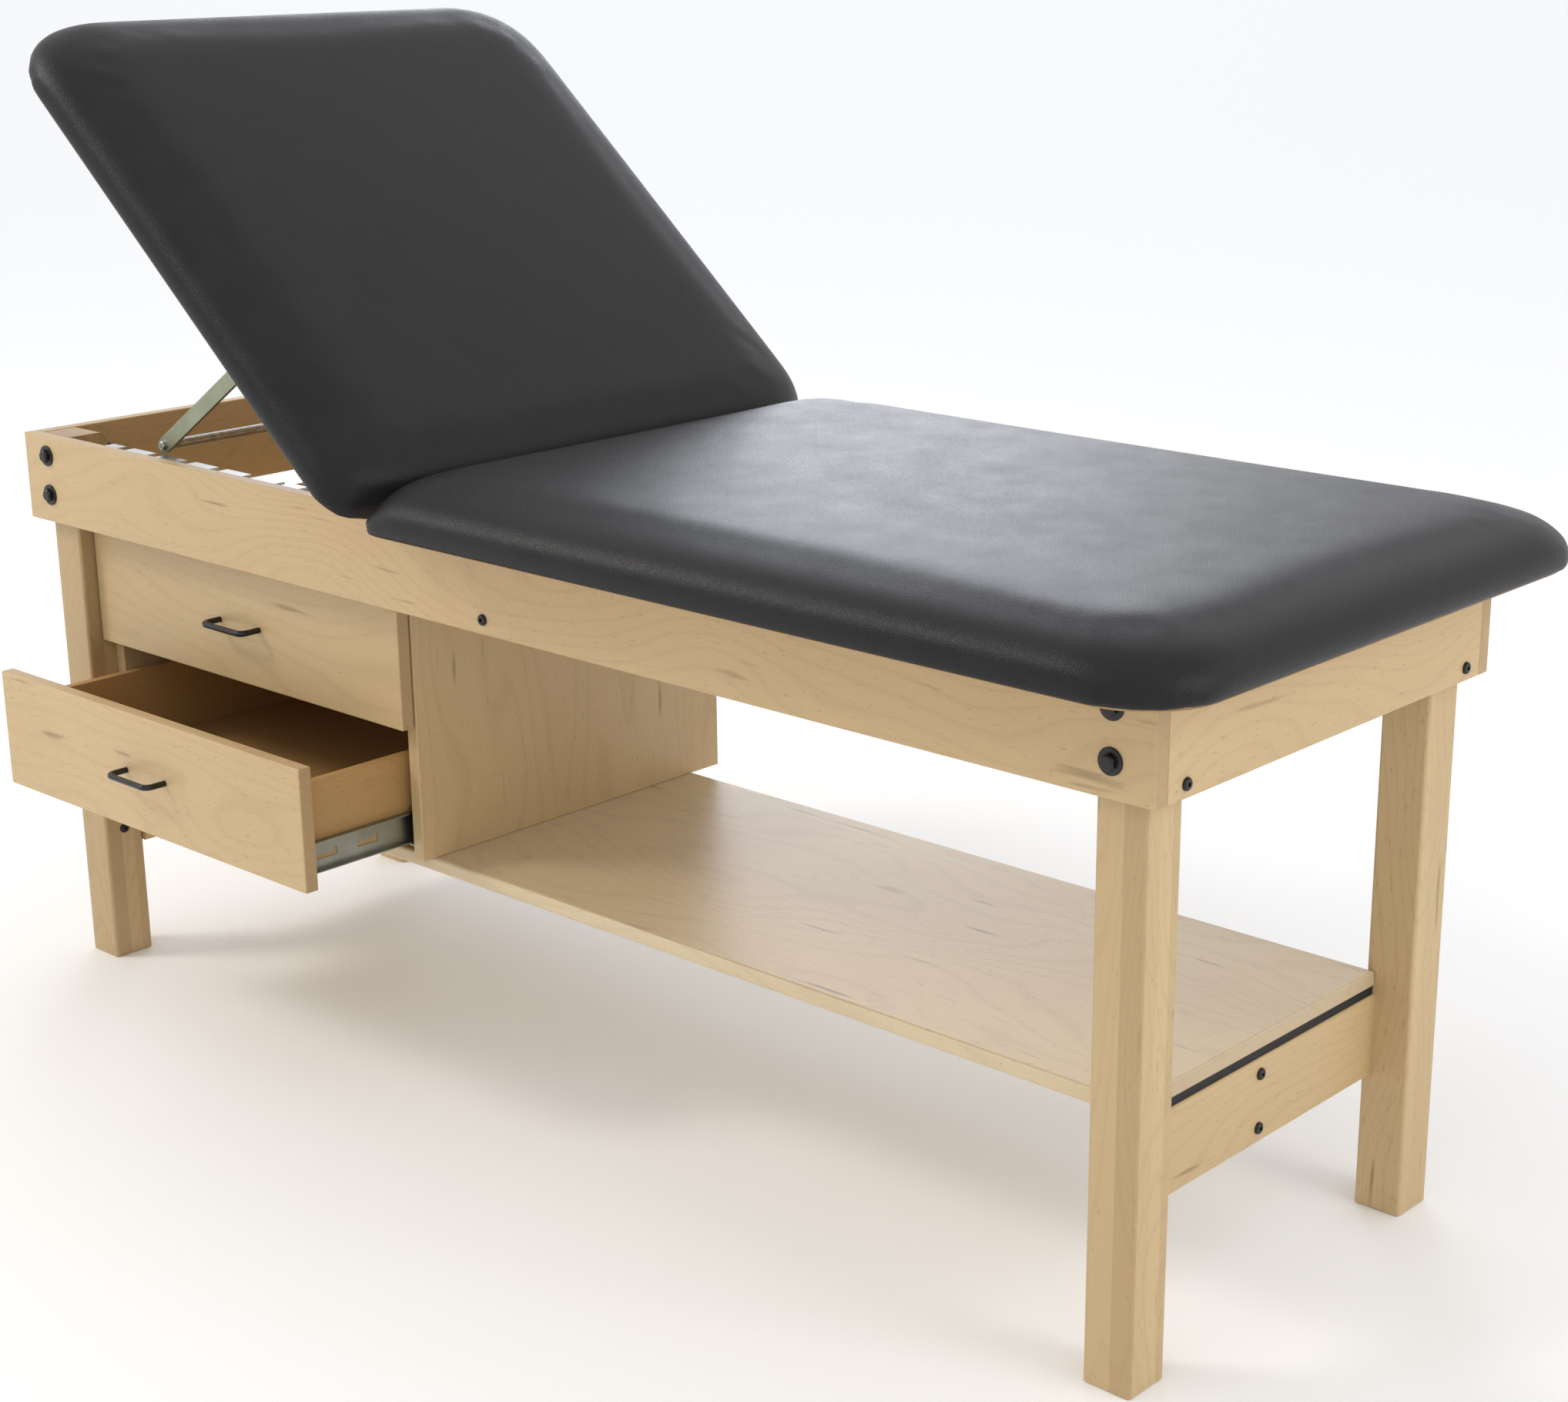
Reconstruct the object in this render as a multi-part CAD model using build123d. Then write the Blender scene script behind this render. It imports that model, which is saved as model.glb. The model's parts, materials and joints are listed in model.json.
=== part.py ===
"""Treatment table: maple frame with lift-up back section, two drawers and a storage shelf.

Axes: +X towards the foot end, -Y towards the drawer side, +Z up, floor at Z = 0.
Everything is laid out about the middle of the frame, then moved so that the origin
is the middle of the floor area under the table as it stands (back raised, lower drawer out).
"""
import os
from math import cos, radians, sin

from build123d import *

# ---------------------------------------------------------------- driving dimensions (mm, degrees)
frame_length = 1815.0
frame_width = 593.0
rail_top = 726.0
rail_height = 113.5
board = 18.0                # thickness of rails, shelf, stretchers, cabinet panels, drawer fronts
leg_size = 57.0
leg_inset = 22.0            # from the end of the side rails to a leg
edge_round = 1.6
leg_edge_round = 4.0
leg_top_round = 16.0
fit_gap = 0.5               # wood to wood, where pieces only stand beside each other

shelf_top = 281.0
shelf_gap = 1.0             # between the shelf and the legs
stretcher_height = 95.0
spacer_height = 10.0
spacer_setback = 3.0
stretcher_lap = 12.0        # how far a stretcher's face stands past the legs' inner faces
tenon_length = 40.0
tenon_thickness = 8.0
tenon_height = 60.0
centre_rail_from_pivot = 133.8
centre_rail_drop = 25.0     # its top below the side rails' top
centre_rail_lift = 2.0      # its underside above the side rails' underside

cabinet_length = 629.0
cabinet_recess = 40.0       # cabinet's front edge behind the side rail's inner face
cabinet_back_gap = 11.0     # cabinet's back from the other side rail's inner face
cabinet_top_gap = 4.5       # below the side rails
cabinet_back_thickness = 12.0
top_rail_depth = 70.0

front_top_gap = 6.0         # above the upper front
front_gap = 9.5             # between the two drawer fronts
front_floor_gap = 7.5       # under the lower front
front_side_gap = 2.0
front_stop_gap = 1.5        # between a shut front and the cabinet
box_top_gap = 30.0          # box sides below their front's top
box_back_gap = 45.5         # behind a shut drawer
box_side = 12.0
box_rise = 12.0             # box bottom above the lower edge of its front
bottom_thickness = 6.0
bottom_rise = 9.0
groove_depth = 5.0
groove_play = 0.2
lower_opening = 153.0       # how far the lower drawer stands open
drawer_travel = 340.0

slide_width = 12.7
slide_half_height = 22.8
slide_member_half = 18.8
slide_wall = 1.2
slide_setback = 2.0
slide_rise = 31.0           # slide centre above the lower edge of the front
slide_reach = 10.0          # cabinet member's flanges
slide_member_reach = 9.5    # drawer member's flanges
slide_hooks = (18.0, 78.0, 330.0)   # from the member's front end
slide_hook_drop = 3.0
hook_length = 30.0
hook_width = 5.0
hook_rise = 10.5
cage_length = 180.0
cage_setback = 4.0
cage_gap = 0.5

handle_spacing = 81.0
handle_reach = 27.6
handle_wire = 7.6
handle_bend = 10.0
handle_screw = 4.0
handle_screw_head = (8.0, 2.5)      # diameter, height
handle_screw_depth = 9.0            # into the pull

pad_thickness = 61.0
pad_side_overhang = 91.5    # past the side rails
pad_board = 18.0
pad_border = 9.0            # upholstery outside the board
seat_start = 803.5          # from the head end of the frame to the seat pad
seat_foot_overhang = 72.5   # past the foot end of the frame
pad_rest_gap = 0.5          # pads above the rails
back_length = 772.0
back_overhang = 10.0        # upholstery past the pivot when the back lies flat
back_angle = 40.5
back_angle_max = 65.0
pad_foot_corner = 90.0
pad_head_corner = 90.0
seat_joint_corner = 32.0
back_joint_corner = 45.0
pad_top_round = 25.0
pad_joint_round = 28.0
pad_bottom_round = 6.0
pad_joint_bottom_round = 11.0

pivot_from_seat = 29.8
pivot_rise = 22.0           # pivot above the underside of the pads
pivot_pin = 8.0
pivot_plate = 5.0
pivot_plate_width = 26.0
pivot_eye = 10.0
pivot_gap = 1.0
pivot_clearance = 0.05
back_board_setback = 14.0   # end of the back board behind the pivot
pocket_side = 4.0
pivot_arm_length = 110.0
pivot_arm_depth = 16.0
pivot_flange_width = 35.0
pivot_flange_thickness = 3.0
pivot_plate_drop = 8.0      # plate's top below the rail's top
pivot_plate_rise = 20.0     # plate's foot above the rail's underside

strut_reach = 292.0         # strut bracket from the pivot line along the back board
strut_drop = 14.0           # strut pivot under the board
strut_length = 332.2
strut_bar = (5.0, 20.0)     # thickness, width
strut_side_gap = 8.0        # middle of a bar to the rack beside it
strut_angle = 33.6          # slope of the bars as the table stands
strut_ratio = 0.83          # strut slope per degree of back angle
strut_pin = 8.0
bracket_wall = 3.0
bracket_gap = 1.0
bracket_length = 40.0
bracket_eye = 18.0
rod_diameter = 12.0
rod_end_gap = 1.0

rack_wall = 3.0
rack_height = 32.0
rack_depth = 24.5
rack_drop = 4.0             # rack's top below the rail's top
rack_pitch = 66.5
rack_slot = (18.0, 15.0)    # along the rail, into the flange
rack_slots_before = 1
rack_slots_after = 4
rack_screws = 4
rack_screw = 4.6
rack_screw_head = (9.0, 2.5)        # diameter, height
rack_screw_place = 0.6      # down the rack's web, as a share
rack_end = 0.55             # rack past its last slot, in pitches

corner_bolt = 10.0
corner_bolt_drop = 25.3     # upper bolt below the rail's top
corner_bolt_rise = 36.5     # lower bolt above the rail's underside
corner_bolt_stick_out = 18.0
washer_diameter = 27.0
washer_thickness = 2.5
washer_edge = 1.2
inner_washer = (21.6, 2.0)  # diameter, thickness, under a nut
bolt_head = (15.0, 5.5)     # across flats, height
bolt_head_dome = (10.4, -3.0)   # radius, centre above the washer
bolt_nut = (16.0, 9.0)      # across flats, height
small_bolt = 7.8
small_head = 13.0
small_head_height = 3.6
small_socket = 4.0
small_socket_depth = 2.4
bolt_play = 0.25
end_bolt_inset = 14.5       # above the rail's underside
end_bolt_length = 55.0
centre_bolt_inset = 17.5
centre_bolt_length = 50.0
beam_bolt_inset = 17.0
beam_bolt_length = 50.0
barrel_diameter = 10.0
barrel_setback = 8.0        # from the bolt's tip
barrel_end_gap = 1.0        # inside the board's faces
leg_pin_height = 182.0
leg_pin_length = 40.0
barrel_play = 0.1

# ---------------------------------------------------------------- places worked out from them
half_length = frame_length / 2
half_width = frame_width / 2
rail_bottom = rail_top - rail_height
inner_y = half_width - board                    # inner face of a side rail
leg_outer_x = half_length - leg_inset
leg_inner_x = leg_outer_x - leg_size
leg_inner_y = inner_y - leg_size
leg_x = (leg_outer_x + leg_inner_x) / 2
leg_y = (inner_y + leg_inner_y) / 2
shelf_bottom = shelf_top - board
stretcher_top = shelf_bottom - spacer_height
stretcher_bottom = stretcher_top - stretcher_height
stretcher_mid = (stretcher_top + stretcher_bottom) / 2
stretcher_x = leg_inner_x + stretcher_lap       # outer face
cabinet_x0 = -leg_inner_x + fit_gap
cabinet_x1 = cabinet_x0 + cabinet_length
cabinet_front = -(inner_y - cabinet_recess)
cabinet_top = rail_bottom - cabinet_top_gap
cabinet_back = inner_y - cabinet_back_gap
front_back_y = cabinet_front - front_stop_gap   # back face of a shut drawer front
box_x0 = cabinet_x0 + board + slide_width
box_x1 = cabinet_x1 - board - slide_width
lower_front_z = shelf_top + front_floor_gap
front_height = (cabinet_top - front_top_gap - lower_front_z - front_gap) / 2
upper_front_z = lower_front_z + front_height + front_gap
box_height = front_height - box_rise - box_top_gap
box_depth = cabinet_back - cabinet_back_thickness - box_back_gap - front_back_y
pad_z = rail_top + pad_rest_gap
pivot_z = pad_z + pivot_rise
pad_half_width = half_width + pad_side_overhang
pad_edge_y = pad_half_width - pad_border
seat_head_x = -half_length + seat_start
seat_foot_x = half_length + seat_foot_overhang
pivot_x = seat_head_x - pivot_from_seat
centre_rail_x = pivot_x + centre_rail_from_pivot
rack_top = rail_top - rack_drop
rack_inner_y = inner_y - rack_depth
strut_y = rack_inner_y - strut_side_gap
slide_length = box_depth - 2 * slide_setback

nodes = {}
bodies = {"frame": [], "backrest": [], "strut": [], "upper_drawer": [], "lower_drawer": []}


# ---------------------------------------------------------------- small helpers
def block(x0, x1, y0, y1, z0, z1):
    """Box between two corners."""
    size = (x1 - x0, y1 - y0, z1 - z0)
    return Pos((x0 + x1) / 2, (y0 + y1) / 2, (z0 + z1) / 2) * Box(*size)


def eased(solid, radius=edge_round):
    """Box with every edge slightly rounded, as sanded wood is."""
    return fillet(solid.edges(), radius)


def rod(start, end, diameter):
    """Round bar from one point to another, parallel to an axis."""
    start, end = Vector(*start), Vector(*end)
    plane = Plane(origin=start, z_dir=(end - start).normalized())
    return extrude(plane * Circle(diameter / 2), (end - start).length)


def hexagon(start, end, across):
    """Six-sided bar from one point to another, for nuts and bolt heads."""
    start, end = Vector(*start), Vector(*end)
    plane = Plane(origin=start, z_dir=(end - start).normalized())
    return extrude(plane * RegularPolygon(across / 2, 6, major_radius=False), (end - start).length)


def drilled(solid, holes):
    """A solid less a list of cutters."""
    for hole in holes:
        solid = solid - hole
    return solid


def add(name, body, solids):
    """Keep a node's solids under its name and its body."""
    solids = solids if isinstance(solids, list) else [solids]
    nodes[name] = [piece for solid in solids for piece in solid.solids()]
    bodies[body].append(name)


def button_bolt(face, direction, length):
    """Button-head bolt whose head sits on a face, and whose shank goes along direction."""
    face, direction = Vector(*face), Vector(*direction)
    head = rod(face - direction * small_head_height, face, small_head)
    outer_edge = head.edges().filter_by(GeomType.CIRCLE).sort_by(lambda e: (e.center() - face).length)[-1]
    head = fillet(outer_edge, small_head_height * 0.75)
    floor = face - direction * (small_head_height - small_socket_depth)
    socket = hexagon(face - direction * small_head_height, floor, small_socket)
    shank = rod(floor + direction, face + direction * length, small_bolt)
    return (head - socket) + shank


def button_hole(face, direction, length):
    """Hole for a button-head bolt."""
    face, direction = Vector(*face), Vector(*direction)
    return rod(face - direction, face + direction * (length + 1), small_bolt + 2 * bolt_play)


# ---------------------------------------------------------------- fasteners' places
corner_points = [
    (sx * leg_x, sy, z)
    for sx in (-1, 1) for sy in (-1, 1) for z in (rail_top - corner_bolt_drop, rail_bottom + corner_bolt_rise)
]
end_bolts = [
    ((sx * half_length, sy * leg_y, rail_bottom + end_bolt_inset), (-sx, 0, 0), end_bolt_length)
    for sx in (-1, 1) for sy in (-1, 1)
]
centre_bolts = [
    ((centre_rail_x, sy * half_width, rail_bottom + centre_bolt_inset), (0, -sy, 0), centre_bolt_length)
    for sy in (-1, 1)
]
beam_bolts = [
    ((sx * stretcher_x, 0, z), (-sx, 0, 0), beam_bolt_length)
    for sx in (-1, 1) for z in (stretcher_bottom + beam_bolt_inset, stretcher_top - beam_bolt_inset)
]
leg_pins = [
    ((sx * leg_inner_x, sy * leg_y, leg_pin_height), (sx, 0, 0), leg_pin_length)
    for sx in (-1, 1) for sy in (-1, 1)
]
button_bolts = end_bolts + centre_bolts + beam_bolts + leg_pins
button_holes = [button_hole(*bolt) for bolt in button_bolts]
corner_holes = [
    rod((x, sy * (half_width + 1), z), (x, sy * (leg_inner_y - 1), z), corner_bolt + 2 * bolt_play)
    for x, sy, z in corner_points
]


# ---------------------------------------------------------------- frame
def build_rails():
    for name, sy in (("side_rail_front", -1), ("side_rail_back", 1)):
        y0, y1 = sorted((sy * half_width, sy * inner_y))
        rail = eased(block(-half_length, half_length, y0, y1, rail_bottom, rail_top))
        add(name, "frame", drilled(rail, corner_holes + button_holes))
    for name, sx in (("end_rail_head", -1), ("end_rail_foot", 1)):
        x0, x1 = sorted((sx * half_length, sx * (half_length - board)))
        rail = eased(block(x0, x1, -inner_y, inner_y, rail_bottom, rail_top))
        add(name, "frame", drilled(rail, button_holes))
    rail = block(centre_rail_x - board / 2, centre_rail_x + board / 2, -inner_y, inner_y,
                 rail_bottom + centre_rail_lift, rail_top - centre_rail_drop)
    add("centre_rail", "frame", drilled(eased(rail), button_holes + barrel_holes))


def build_legs():
    for end, sx in (("head", -1), ("foot", 1)):
        for side, sy in (("front", -1), ("back", 1)):
            x0, x1 = sorted((sx * leg_outer_x, sx * leg_inner_x))
            y0, y1 = sorted((sy * inner_y, sy * leg_inner_y))
            leg = block(x0, x1, y0, y1, 0, rail_top)
            leg = fillet(leg.edges().filter_by(Axis.Z), leg_edge_round)
            top = leg.faces().sort_by(Axis.Z)[-1]
            inner_edge = top.edges().filter_by(Axis.X).sort_by(Axis.Y)[0 if sy > 0 else -1]
            cut = block(x0, x1, *sorted((sy * leg_inner_y, sy * (leg_inner_y + leg_top_round))),
                        rail_top - leg_top_round, rail_top)
            round_y = sy * (leg_inner_y + leg_top_round)
            round_z = rail_top - leg_top_round
            cut -= rod((x0, round_y, round_z), (x1, round_y, round_z), 2 * leg_top_round)
            tenon_x0, tenon_x1 = sorted((sx * (stretcher_x - tenon_thickness), sx * stretcher_x))
            mortise = block(tenon_x0, tenon_x1, *sorted((0, sy * (leg_inner_y + tenon_length))),
                            stretcher_mid - tenon_height / 2, stretcher_mid + tenon_height / 2)
            leg = chamfer((leg - cut).faces().sort_by(Axis.Z)[0].edges(), edge_round)
            add(f"leg_{end}_{side}", "frame", drilled(leg, [mortise] + corner_holes + button_holes))


def build_corner_hardware():
    washers, bolts, nuts = [], [], []
    for x, sy, z in corner_points:
        def at(distance):
            return (x, sy * distance, z)
        face = half_width
        across, head_height = bolt_head
        dome_radius, dome_rise = bolt_head_dome
        inner_diameter, inner_thickness = inner_washer
        nut_across, nut_height = bolt_nut
        nut_face = leg_inner_y - inner_thickness
        bore = rod(at(face + 8), at(nut_face - 8), corner_bolt + 2 * bolt_play)
        washer = rod(at(face), at(face + washer_thickness), washer_diameter) - bore
        rim = washer.edges().filter_by(GeomType.CIRCLE).group_by(SortBy.RADIUS)[-1]
        washers.append(fillet(rim.sort_by(Axis.Y)[0 if sy < 0 else -1], washer_edge))
        washers.append(rod(at(leg_inner_y), at(nut_face), inner_diameter) - bore)
        head = hexagon(at(face + washer_thickness), at(face + washer_thickness + head_height), across)
        dome = Pos(*at(face + washer_thickness + dome_rise)) * Sphere(dome_radius)
        shank_end = leg_inner_y - corner_bolt_stick_out
        shank = rod(at(face + washer_thickness), at(shank_end), corner_bolt)
        bolts.append((head & dome) + shank)
        nut = hexagon(at(nut_face), at(nut_face - nut_height), nut_across)
        nuts.append(nut - rod(at(leg_inner_y), at(nut_face - nut_height - 1), corner_bolt + 2 * barrel_play))
    add("corner_washers", "frame", washers)
    add("corner_bolts", "frame", bolts)
    add("corner_nuts", "frame", nuts)


def barrel_places():
    """Middle, direction and length of each barrel nut, set near its bolt's tip."""
    places = []
    for (x, y, z), (dx, dy, dz), length in centre_bolts:
        places.append(((x, y + dy * (length - barrel_setback), z), (1, 0, 0), board - 2 * barrel_end_gap))
    for (x, y, z), (dx, dy, dz), length in beam_bolts:
        places.append(((x + dx * (length - barrel_setback), y, z), (0, 1, 0), board - 2 * barrel_end_gap))
    return places


def barrel(place, diameter):
    middle, direction, length = place
    middle, direction = Vector(*middle), Vector(*direction)
    return rod(middle - direction * (length / 2), middle + direction * (length / 2), diameter)


barrel_holes = [barrel((m, d, board + 2), barrel_diameter + 2 * barrel_play) for m, d, _ in barrel_places()]


def build_small_hardware():
    add("button_bolts", "frame", [button_bolt(*bolt) for bolt in button_bolts])
    barrels = [barrel(place, barrel_diameter) for place in barrel_places()]
    add("barrel_nuts", "frame", [drilled(solid, button_holes) for solid in barrels])


def build_shelf():
    y = leg_inner_y - shelf_gap
    add("shelf", "frame", eased(block(-stretcher_x, stretcher_x, -y, y, shelf_bottom, shelf_top), 4.0))
    spacers = []
    for end, sx in (("head", -1), ("foot", 1)):
        x0, x1 = sorted((sx * stretcher_x, sx * (stretcher_x - board)))
        plank = block(x0, x1, -leg_inner_y, leg_inner_y, stretcher_bottom, stretcher_top)
        plank = chamfer(plank.edges().filter_by(Axis.Y), edge_round)
        tx0, tx1 = sorted((sx * stretcher_x, sx * (stretcher_x - tenon_thickness)))
        reach = leg_inner_y + tenon_length - fit_gap
        tenon = block(tx0 + barrel_play, tx1 - barrel_play, -reach, reach,
                      stretcher_mid - tenon_height / 2 + barrel_play,
                      stretcher_mid + tenon_height / 2 - barrel_play)
        add(f"stretcher_{end}", "frame", drilled(plank + tenon, button_holes))
        inset = spacer_setback
        spacers.append(block(x0 + inset, x1 - inset, -y, y, stretcher_top, shelf_bottom))
    add("stretcher_spacers", "frame", spacers)
    x = stretcher_x - board
    beam = eased(block(-x, x, -board / 2, board / 2, stretcher_bottom, shelf_bottom))
    add("stretcher_beam", "frame", drilled(beam, button_holes + barrel_holes))


# ---------------------------------------------------------------- cabinet
def build_cabinet():
    for end, x0 in (("head", cabinet_x0), ("foot", cabinet_x1 - board)):
        panel = block(x0, x0 + board, cabinet_front, cabinet_back, shelf_top, cabinet_top)
        add(f"cabinet_side_{end}", "frame", eased(panel))
    x0, x1 = cabinet_x0 + board, cabinet_x1 - board
    y0 = cabinet_back - cabinet_back_thickness
    back = block(x0, x1, y0, cabinet_back - edge_round, shelf_top, cabinet_top)
    add("cabinet_back", "frame", back)
    rail_ys = (cabinet_front + edge_round, y0 - top_rail_depth)
    top_rails = [
        block(x0, x1, y, y + top_rail_depth, cabinet_top - cabinet_back_thickness, cabinet_top - edge_round)
        for y in rail_ys
    ]
    add("cabinet_top_rails", "frame", top_rails)


def slide_channel(x_web, x_tip, half_height, y0, y1, z):
    """Channel section: a web at x_web with two flanges reaching to x_tip."""
    outer = block(*sorted((x_web, x_tip)), y0, y1, z - half_height, z + half_height)
    inward = slide_wall if x_tip > x_web else -slide_wall
    inner_half = half_height - slide_wall
    cut = block(*sorted((x_web + inward, x_tip + inward)), y0 - 1, y1 + 1, z - inner_half, z + inner_half)
    return outer - cut


def hook_slot(x, y, z):
    """J-shaped cut through a slide's web."""
    deep = 2 * slide_wall
    bar = block(x - deep, x + deep, y, y + hook_length, z - hook_width / 2, z + hook_width / 2)
    hook = block(x - deep, x + deep, y + hook_length - hook_width, y + hook_length,
                 z - hook_width / 2, z - hook_width / 2 + hook_rise)
    return bar + hook


def build_slides(level, front_z):
    z = front_z + slide_rise
    y0 = front_back_y + slide_setback
    y1 = y0 + slide_length
    cabinet_y0 = cabinet_front + slide_setback
    cabinet_members, drawer_members, cages = [], [], []
    for box_x, panel_x in ((box_x0, cabinet_x0 + board), (box_x1, cabinet_x1 - board)):
        out = 1 if panel_x > box_x else -1
        cabinet_members.append(
            slide_channel(panel_x, panel_x - out * slide_reach, slide_half_height,
                          cabinet_y0, cabinet_y0 + slide_length, z))
        member = slide_channel(box_x, box_x + out * slide_member_reach, slide_member_half, y0, y1, z)
        slots = [hook_slot(box_x, y0 + place, z - slide_hook_drop) for place in slide_hooks]
        drawer_members.append(drilled(member, slots))
        cage_x0, cage_x1 = sorted((panel_x - out * (slide_reach - 1), panel_x - out * (slide_reach - 6)))
        for side in (-1, 1):
            cage_z0, cage_z1 = sorted((z + side * (slide_member_half + cage_gap),
                                       z + side * (slide_half_height - slide_wall - cage_gap)))
            cages.append(block(cage_x0, cage_x1, cabinet_y0 + cage_setback, cabinet_y0 + cage_length,
                               cage_z0, cage_z1))
    add(f"{level}_slide_cabinet_members", "frame", cabinet_members)
    add(f"{level}_slide_ball_cages", "frame", cages)
    add(f"{level}_slide_drawer_members", f"{level}_drawer", drawer_members)


def build_drawer(level, front_z):
    body = f"{level}_drawer"
    x0, x1 = cabinet_x0 + front_side_gap - fit_gap, cabinet_x1 - front_side_gap
    y1 = front_back_y
    y0 = y1 - board
    box_z0 = front_z + box_rise
    box_z1 = box_z0 + box_height
    bottom_z = box_z0 + bottom_rise
    groove = block(box_x0 + box_side - groove_depth, box_x1 - box_side + groove_depth,
                   y1 - groove_depth, y1 + box_depth + 1,
                   bottom_z - groove_play, bottom_z + bottom_thickness + groove_play)
    middle = (x0 + x1) / 2
    mid_z = front_z + front_height / 2
    feet = [(middle + side * handle_spacing / 2, mid_z) for side in (-1, 1)]
    holes = [rod((x, y0 - 1, z), (x, y1 + 1, z), handle_screw + 2 * bolt_play) for x, z in feet]
    front = eased(block(x0, x1, y0, y1, front_z, front_z + front_height), 2.0)
    add(f"{level}_drawer_front", body, drilled(front, holes + [groove]))
    sides = [
        eased(block(x, x + box_side, y1, y1 + box_depth, box_z0, box_z1), 1.0) - groove
        for x in (box_x0, box_x1 - box_side)
    ]
    add(f"{level}_drawer_sides", body, sides)
    back = block(box_x0 + box_side, box_x1 - box_side, y1 + box_depth - box_side, y1 + box_depth,
                 bottom_z + bottom_thickness + groove_play, box_z1)
    add(f"{level}_drawer_back", body, back)
    play = 2 * groove_play
    bottom = block(box_x0 + box_side - groove_depth + play, box_x1 - box_side + groove_depth - play,
                   y1 - groove_depth + play, y1 + box_depth, bottom_z, bottom_z + bottom_thickness)
    add(f"{level}_drawer_bottom", body, bottom)
    build_handle(level, body, feet, y0, y1)
    build_slides(level, front_z)


def build_handle(level, body, feet, y0, y1):
    (xa, z), (xb, _) = feet
    grip_y = y0 - handle_reach
    path = FilletPolyline((xa, y0, z), (xa, grip_y, z), (xb, grip_y, z), (xb, y0, z), radius=handle_bend)
    handle = sweep(Plane(origin=(xa, y0, z), z_dir=(0, -1, 0)) * Circle(handle_wire / 2), path)
    tip = y0 - handle_screw_depth
    threads = [rod((x, y0 + 1, z), (x, tip - 1, z), handle_screw + 2 * barrel_play) for x in (xa, xb)]
    add(f"{level}_handle", body, drilled(handle, threads))
    head, head_height = handle_screw_head
    screws = [
        rod((x, y1, z), (x, tip, z), handle_screw) + rod((x, y1, z), (x, y1 + head_height, z), head)
        for x in (xa, xb)
    ]
    add(f"{level}_handle_screws", body, screws)


# ---------------------------------------------------------------- pads, racks and back lift
def pad_outline(x0, x1, half, head_corner, foot_corner):
    """Flat outline of a pad, with its own corner radius at each end."""
    shape = Rectangle(x1 - x0, 2 * half)
    head = shape.vertices().group_by(Axis.X)[0]
    shape = fillet(head, head_corner)
    foot = shape.vertices().group_by(Axis.X)[-1]
    shape = fillet(foot, foot_corner)
    return Pos((x0 + x1) / 2, 0, pad_z) * shape


def pad_block(x0, x1, head_corner, foot_corner, joint_end):
    """Upholstered block: soft rounded top edges, a tighter bend under the joint end."""
    solid = extrude(pad_outline(x0, x1, pad_half_width, head_corner, foot_corner), pad_thickness)
    joint_x = x0 if joint_end < 0 else x1
    outer_top = solid.faces().sort_by(Axis.Z)[-1].edges()
    solid = fillet(outer_top, pad_top_round)
    solid = fillet(solid.faces().sort_by(Axis.Z)[0].edges(), pad_bottom_round)
    z_top = pad_z + pad_thickness
    return solid & joint_shape(x0, x1, joint_x, joint_end, z_top)


def joint_shape(x0, x1, joint_x, joint_end, z_top):
    """Side profile that rounds the end of a pad at the joint, swept across the width."""
    inner = -joint_end
    far = x1 if joint_x == x0 else x0
    r, rb = pad_joint_round, pad_joint_bottom_round
    with BuildSketch(Plane.XZ) as profile:
        with BuildLine():
            a = (joint_x + inner * rb, pad_z)
            b = (joint_x, pad_z + rb)
            c = (joint_x, z_top - r)
            d = (joint_x + inner * r, z_top)
            RadiusArc(a, b, rb * (1 if inner > 0 else -1))
            Line(b, c)
            RadiusArc(c, d, r * (1 if inner > 0 else -1))
            Polyline(d, (far - joint_end, z_top), (far - joint_end, pad_z), a)
        make_face()
    return extrude(profile.sketch, pad_half_width + 1, both=True)


def build_seat():
    board_x0 = seat_head_x + pad_border
    board_x1 = seat_foot_x - pad_border
    outline = pad_outline(board_x0, board_x1, pad_edge_y,
                          seat_joint_corner - pad_border, pad_foot_corner - pad_border)
    panel = extrude(outline, pad_board)
    add("seat_board", "frame", panel)
    pad = pad_block(seat_head_x, seat_foot_x, seat_joint_corner, pad_foot_corner, -1)
    add("seat_cushion", "frame", pad - extrude(outline, pad_board))


def pivot_pocket(sy):
    """Space in the back pad for the pivot plates on one side."""
    y0, y1 = sorted((sy * (inner_y + pocket_side),
                     sy * (inner_y - 2 * pivot_plate - pivot_gap - pocket_side)))
    clear = pivot_plate_width / 2 + pocket_side
    low = block(pivot_x - clear - back_board_setback, pivot_x + 60, y0, y1, pad_z - 1, pivot_z)
    eye = rod((pivot_x, y0, pivot_z), (pivot_x, y1, pivot_z), 2 * pivot_eye + 2 * pocket_side)
    return low + eye


def flat_backrest():
    """Back section lying flat, as name -> solids, before it is turned up."""
    x1 = pivot_x + back_overhang
    x0 = x1 - back_length
    board_x0 = x0 + pad_border
    board_x1 = pivot_x - back_board_setback
    outline = pad_outline(board_x0, board_x1, pad_edge_y,
                          pad_head_corner - pad_border, back_joint_corner - pad_border)
    pockets = [pivot_pocket(sy) for sy in (-1, 1)]
    pad = pad_block(x0, x1, pad_head_corner, back_joint_corner, 1)
    pieces = {
        "back_board": [drilled(extrude(outline, pad_board), pockets)],
        "back_cushion": [drilled(pad - extrude(outline, pad_board), pockets)],
    }
    plates, brackets, pins = [], [], []
    for sy in (-1, 1):
        plates.append(back_pivot_plate(sy))
        brackets.append(strut_bracket(sy))
        pins.append(strut_pivot_pin(sy))
    pieces["back_pivot_plates"] = plates
    pieces["strut_brackets"] = brackets
    pieces["strut_pivot_pins"] = pins
    return pieces


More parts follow.
